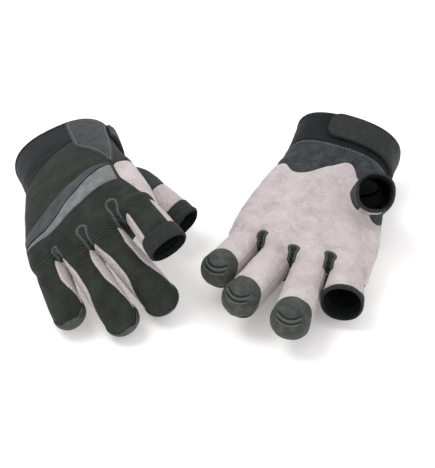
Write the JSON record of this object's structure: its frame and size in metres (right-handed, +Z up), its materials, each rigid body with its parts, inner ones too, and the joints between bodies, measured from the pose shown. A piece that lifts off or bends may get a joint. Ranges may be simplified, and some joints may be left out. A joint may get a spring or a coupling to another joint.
{
  "type": "sailing gloves",
  "caption": "Pair of short-cuffed sailing gloves: three closed fingers, cut index finger and thumb, suede palm, ribbed stretch back, neoprene cuff and wrist strap",
  "frame": {"origin": "on the table, at the middle of the pair", "axes": "+Z up from the table; the fingers of both gloves point towards -Y; +X runs from the right-hand glove, palm down, to the left-hand glove, palm up"},
  "size_m": [0.2761, 0.2013, 0.074],
  "materials": {
    "stretch": "black four-way stretch fabric with fine cross ribs",
    "suede": "pale mauve-grey synthetic suede, napped, with thread stitching",
    "amara": "dark grey synthetic suede reinforcement",
    "felt": "brushed grey loop fabric that the strap closes on",
    "band": "two-tone grey moulded rubber knuckle band",
    "neoprene": "navy-black neoprene with a smooth knitted face",
    "binding": "black bound edge with a stitch line",
    "strap": "black webbing strap with a rounded moulded end",
    "hook_tape": "black hook tape",
    "tip_cap": "dark grey synthetic leather with embossed seam lines"
  },
  "bodies": {
    "right_hand": {"right_back_panel": "stretch", "right_palm_panel": "suede", "right_heel_panel": "amara", "right_thumb_side_patch": "suede", "right_knuckle_band": "band", "right_web_gussets": "amara", "right_cuff": "neoprene", "right_cuff_binding": "binding", "right_strap_anchor": "felt"},
    "right_strap_flap": {"right_strap": "strap", "right_hook_tape": "hook_tape"},
    "right_thumb": {"right_thumb_front": "amara", "right_thumb_back": "suede", "right_thumb_binding": "binding"},
    "right_index_finger": {"right_index_back": "stretch", "right_index_front": "suede", "right_index_sidewalls": "suede", "right_index_binding": "binding"},
    "right_middle_finger": {"right_middle_back": "stretch", "right_middle_front": "suede", "right_middle_sidewalls": "suede", "right_middle_tip_cap": "tip_cap"},
    "right_ring_finger": {"right_ring_back": "stretch", "right_ring_front": "suede", "right_ring_sidewalls": "suede", "right_ring_tip_cap": "tip_cap"},
    "right_little_finger": {"right_little_back": "stretch", "right_little_front": "suede", "right_little_sidewalls": "suede", "right_little_tip_cap": "tip_cap"},
    "left_hand": {"left_back_panel": "stretch", "left_palm_panel": "suede", "left_heel_panel": "amara", "left_thumb_side_patch": "suede", "left_knuckle_band": "band", "left_web_gussets": "amara", "left_cuff": "neoprene", "left_cuff_binding": "binding", "left_strap_anchor": "felt"},
    "left_strap_flap": {"left_strap": "strap", "left_hook_tape": "hook_tape"},
    "left_thumb": {"left_thumb_front": "amara", "left_thumb_back": "suede", "left_thumb_binding": "binding"},
    "left_index_finger": {"left_index_back": "stretch", "left_index_front": "suede", "left_index_sidewalls": "suede", "left_index_binding": "binding"},
    "left_middle_finger": {"left_middle_back": "stretch", "left_middle_front": "suede", "left_middle_sidewalls": "suede", "left_middle_tip_cap": "tip_cap"},
    "left_ring_finger": {"left_ring_back": "stretch", "left_ring_front": "suede", "left_ring_sidewalls": "suede", "left_ring_tip_cap": "tip_cap"},
    "left_little_finger": {"left_little_back": "stretch", "left_little_front": "suede", "left_little_sidewalls": "suede", "left_little_tip_cap": "tip_cap"}
  },
  "joints": [
    {"name": "left_glove_lift", "type": "slide", "parent": "right_hand", "child": "left_hand", "axis": [0, 0, 1], "range_m": [0, 0.12]},
    {"name": "right_index_lift", "type": "hinge", "parent": "right_hand", "child": "right_index_finger", "pos_m": [-0.0478, -0.0269, 0.0747], "axis": [-0.8179, -0.4848, -0.3098], "range_deg": [0, 30]},
    {"name": "right_middle_lift", "type": "hinge", "parent": "right_hand", "child": "right_middle_finger", "pos_m": [-0.0677, -0.0429, 0.06], "axis": [-0.7549, -0.4892, -0.4369], "range_deg": [0, 35]},
    {"name": "right_ring_lift", "type": "hinge", "parent": "right_hand", "child": "right_ring_finger", "pos_m": [-0.0875, -0.0469, 0.0477], "axis": [-0.8208, -0.3583, -0.4448], "range_deg": [0, 35]},
    {"name": "right_little_lift", "type": "hinge", "parent": "right_hand", "child": "right_little_finger", "pos_m": [-0.1089, -0.0432, 0.036], "axis": [-0.8679, -0.2193, -0.4458], "range_deg": [0, 30]},
    {"name": "right_thumb_swing", "type": "hinge", "parent": "right_hand", "child": "right_thumb", "pos_m": [-0.061, 0.053, 0.0302], "axis": [0.4619, 0.3322, 0.8224], "range_deg": [0, 25]},
    {"name": "right_strap_peel", "type": "hinge", "parent": "right_hand", "child": "right_strap_flap", "pos_m": [-0.0684, 0.074, 0.0516], "axis": [0.1684, -0.9227, 0.3469], "range_deg": [0, 110]},
    {"name": "left_index_fold", "type": "hinge", "parent": "left_hand", "child": "left_index_finger", "pos_m": [0.0921, -0.0444, 0.0347], "axis": [-0.9846, 0.1742, 0.0162], "range_deg": [0, 45]},
    {"name": "left_middle_fold", "type": "hinge", "parent": "left_hand", "child": "left_middle_finger", "pos_m": [0.067, -0.0416, 0.035], "axis": [-0.9611, 0.2758, 0.0173], "range_deg": [0, 55]},
    {"name": "left_ring_fold", "type": "hinge", "parent": "left_hand", "child": "left_ring_finger", "pos_m": [0.0449, -0.0308, 0.0349], "axis": [-0.8663, 0.4993, 0.0155], "range_deg": [0, 55]},
    {"name": "left_little_fold", "type": "hinge", "parent": "left_hand", "child": "left_little_finger", "pos_m": [0.0262, -0.0123, 0.0345], "axis": [-0.853, 0.5217, 0.015], "range_deg": [0, 50]},
    {"name": "left_thumb_swing", "type": "hinge", "parent": "left_hand", "child": "left_thumb", "pos_m": [0.1196, 0.0283, 0.0342], "axis": [-0.6918, 0.5159, 0.5052], "range_deg": [0, 25]},
    {"name": "left_strap_peel", "type": "hinge", "parent": "left_hand", "child": "left_strap_flap", "pos_m": [0.1319, 0.0647, 0.013], "axis": [0.3543, 0.9332, 0.0601], "range_deg": [0, 110]}
  ]
}
